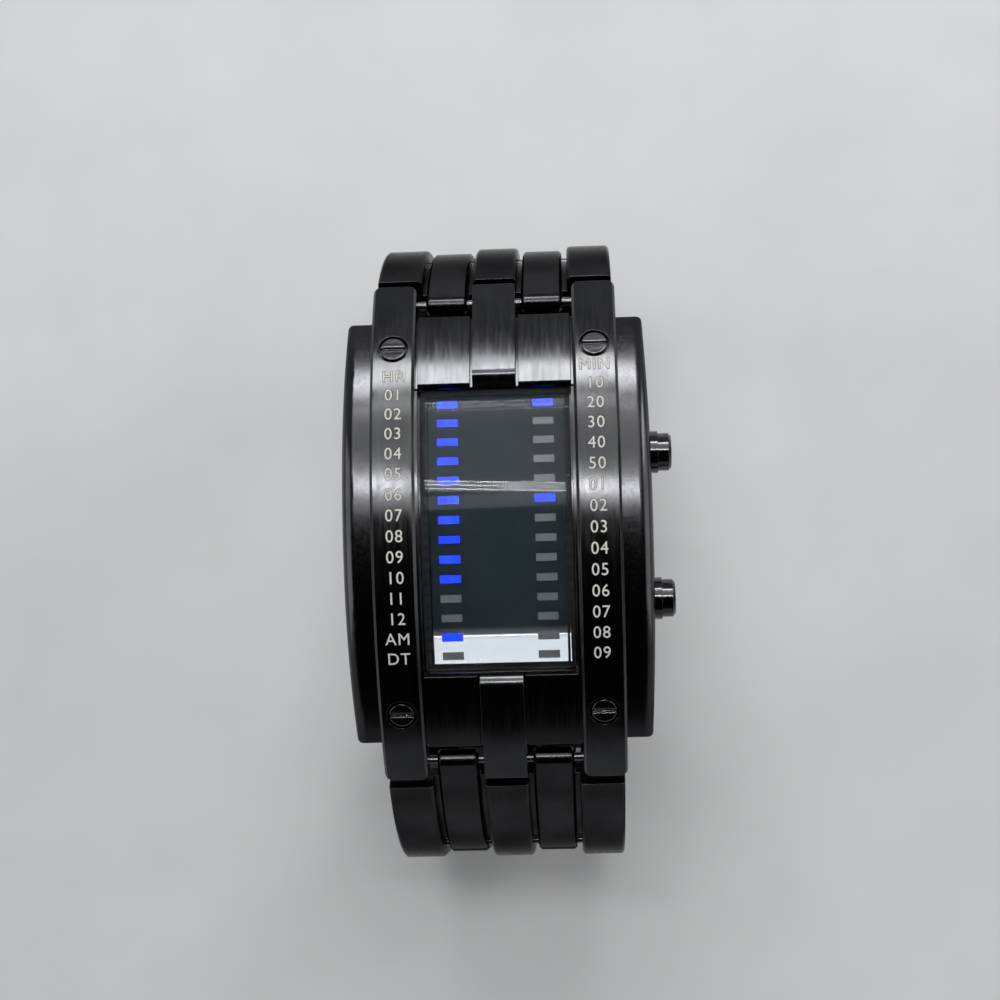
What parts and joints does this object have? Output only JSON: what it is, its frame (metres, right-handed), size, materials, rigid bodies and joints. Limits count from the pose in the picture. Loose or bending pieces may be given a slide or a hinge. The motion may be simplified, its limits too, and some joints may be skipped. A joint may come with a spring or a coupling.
{
  "type": "wristwatch",
  "caption": "Curved rectangular LED watch with binary lamp columns, side push buttons and a five-column folding-clasp bracelet.",
  "frame": {"origin": "centre of the case back's outer face", "axes": "+Z out of the dial, +Y to 12 o'clock, +X to 3 o'clock, where the push buttons are"},
  "size_m": [0.0373, 0.0771, 0.0599],
  "materials": {
    "black_steel": "polished black coated steel",
    "screw_steel": "polished black coated steel",
    "plain_steel": "satin dark steel",
    "crystal": "mirror-coated dark glass",
    "gasket": "matt",
    "mask": "matt",
    "lamp": "lamp, clear resin",
    "board": "solder mask",
    "holder": "moulded",
    "film": "film",
    "cell": "plated",
    "brass": "stamped strip",
    "chip": "moulded",
    "switch": "moulded"
  },
  "bodies": {
    "case": {"case_middle": "black_steel", "hour_rail": "black_steel", "minute_rail": "black_steel", "rail_screws": "screw_steel", "left_shield": "black_steel", "right_shield": "black_steel", "crystal": "crystal", "crystal_gasket": "gasket", "display_mask": "mask", "display_board": "board", "hour_lamps": "lamp", "minute_lamps": "lamp", "module_holder": "holder", "battery_insulator": "film", "coin_cells": "cell", "battery_contact": "brass", "circuit_board": "board", "controller_chip": "chip", "push_switches": "switch", "case_back": "plain_steel", "case_back_gasket": "gasket", "case_back_screws": "plain_steel", "button_tubes": "black_steel", "button_seals": "gasket", "lug_pins": "plain_steel"},
    "upper_button": {"upper_button": "black_steel", "upper_button_clip": "plain_steel"},
    "lower_button": {"lower_button": "black_steel", "lower_button_clip": "plain_steel"},
    "upper_link_1": {"upper_link_1": "black_steel", "upper_link_pin_1": "plain_steel"},
    "upper_link_2": {"upper_link_2": "black_steel", "upper_link_pin_2": "plain_steel"},
    "upper_link_3": {"upper_link_3": "black_steel", "upper_link_pin_3": "plain_steel"},
    "upper_link_4": {"upper_link_4": "black_steel", "upper_link_pin_4": "plain_steel"},
    "upper_link_5": {"upper_link_5": "black_steel"},
    "lower_link_1": {"lower_link_1": "black_steel", "lower_link_pin_1": "plain_steel"},
    "lower_link_2": {"lower_link_2": "black_steel", "lower_link_pin_2": "plain_steel"},
    "lower_link_3": {"lower_link_3": "black_steel", "lower_link_pin_3": "plain_steel"},
    "lower_link_4": {"lower_link_4": "black_steel", "lower_link_pin_4": "plain_steel"},
    "lower_link_5": {"lower_link_5": "black_steel", "lower_spring_bar": "plain_steel"},
    "clasp_cover": {"clasp_cover": "black_steel", "cover_hinge_pin": "plain_steel", "upper_spring_bar": "plain_steel"},
    "clasp_middle_blade": {"clasp_middle_blade": "plain_steel"},
    "clasp_bottom_blade": {"clasp_bottom_blade": "plain_steel", "fold_hinge_pin": "plain_steel"},
    "left_release_button": {"left_release_button": "black_steel"},
    "right_release_button": {"right_release_button": "black_steel"}
  },
  "joints": [
    {"name": "upper_button_press", "type": "slide", "parent": "case", "child": "upper_button", "axis": [-1, 0, 0], "range_m": [0, 0.0007], "stiffness_N_per_m": 400},
    {"name": "lower_button_press", "type": "slide", "parent": "case", "child": "lower_button", "axis": [-1, 0, 0], "range_m": [0, 0.0007], "stiffness_N_per_m": 400},
    {"name": "upper_lug_hinge", "type": "hinge", "parent": "case", "child": "upper_link_1", "pos_m": [0, 0.0264, 0.00077], "axis": [1, 0, 0], "range_deg": [0, 15.7]},
    {"name": "upper_hinge_1", "type": "hinge", "parent": "upper_link_1", "child": "upper_link_2", "pos_m": [0, 0.03427, -0.01871], "axis": [1, 0, 0], "range_deg": [0, 3.5]},
    {"name": "upper_hinge_2", "type": "hinge", "parent": "upper_link_2", "child": "upper_link_3", "pos_m": [0, 0.03395, -0.0277], "axis": [1, 0, 0], "range_deg": [0, 17]},
    {"name": "upper_hinge_3", "type": "hinge", "parent": "upper_link_3", "child": "upper_link_4", "pos_m": [0, 0.03029, -0.03592], "axis": [1, 0, 0], "range_deg": [0, 17]},
    {"name": "upper_hinge_4", "type": "hinge", "parent": "upper_link_4", "child": "upper_link_5", "pos_m": [0, 0.02382, -0.04217], "axis": [1, 0, 0], "range_deg": [0, 17]},
    {"name": "lower_lug_hinge", "type": "hinge", "parent": "case", "child": "lower_link_1", "pos_m": [0, -0.0264, 0.00077], "axis": [-1, 0, 0], "range_deg": [0, 2.7]},
    {"name": "lower_hinge_1", "type": "hinge", "parent": "lower_link_1", "child": "lower_link_2", "pos_m": [0, -0.03845, -0.01644], "axis": [-1, 0, 0], "range_deg": [0, 8.5]},
    {"name": "lower_hinge_2", "type": "hinge", "parent": "lower_link_2", "child": "lower_link_3", "pos_m": [0, -0.03939, -0.02539], "axis": [-1, 0, 0], "range_deg": [0, 17]},
    {"name": "lower_hinge_3", "type": "hinge", "parent": "lower_link_3", "child": "lower_link_4", "pos_m": [0, -0.03691, -0.03404], "axis": [-1, 0, 0], "range_deg": [0, 17]},
    {"name": "lower_hinge_4", "type": "hinge", "parent": "lower_link_4", "child": "lower_link_5", "pos_m": [0, -0.03136, -0.04113], "axis": [-1, 0, 0], "range_deg": [0, 17]},
    {"name": "strap_hinge", "type": "hinge", "parent": "upper_link_5", "child": "clasp_cover", "pos_m": [0, 0.01547, -0.04555], "axis": [1, 0, 0], "range_deg": [0, 21.1]},
    {"name": "cover_hinge", "type": "hinge", "parent": "clasp_cover", "child": "clasp_middle_blade", "pos_m": [0, -0.01995, -0.04592], "axis": [1, 0, 0], "range_deg": [0, 105]},
    {"name": "fold_hinge", "type": "hinge", "parent": "clasp_middle_blade", "child": "clasp_bottom_blade", "pos_m": [0, 0.00747, -0.04526], "axis": [-1, 0, 0], "range_deg": [0, 110]},
    {"name": "left_release_press", "type": "slide", "parent": "clasp_cover", "child": "left_release_button", "axis": [1, 0, 0], "range_m": [0, 0.0006], "stiffness_N_per_m": 400},
    {"name": "right_release_press", "type": "slide", "parent": "clasp_cover", "child": "right_release_button", "axis": [-1, 0, 0], "range_m": [0, 0.0006], "stiffness_N_per_m": 400}
  ]
}
